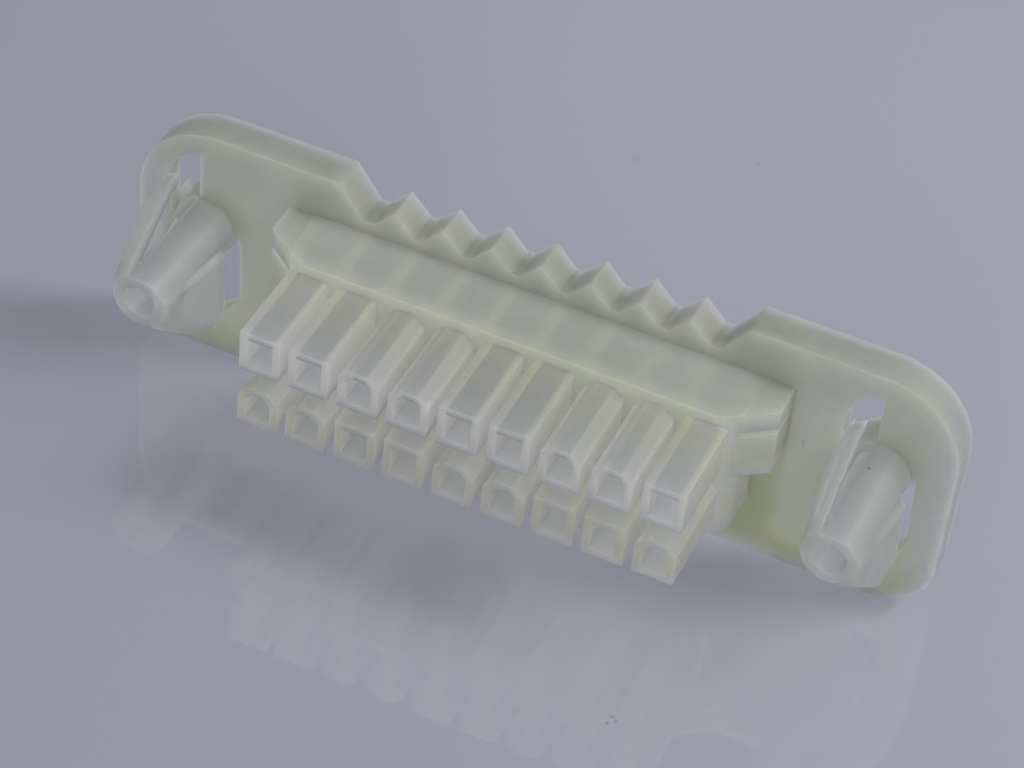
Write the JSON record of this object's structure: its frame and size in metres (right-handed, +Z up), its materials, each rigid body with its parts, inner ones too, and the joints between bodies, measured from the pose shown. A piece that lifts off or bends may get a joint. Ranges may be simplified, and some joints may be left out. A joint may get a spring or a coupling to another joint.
{
  "type": "socket header",
  "caption": "Panel-mount socket housing with two rows of empty keyed tubes, a toothed flange with rounded ears and a hollow split snap post on each ear.",
  "frame": {"origin": "midway between the two socket rows and between the two snap posts, on the flange face that meets the panel", "axes": "X along the socket rows, Y from the socket tubes to the wire side, Z up"},
  "size_m": [0.0704, 0.0176, 0.0219],
  "materials": {
    "nylon": "natural translucent nylon, satin"
  },
  "bodies": {
    "root": {"housing": "nylon"}
  },
  "joints": []
}
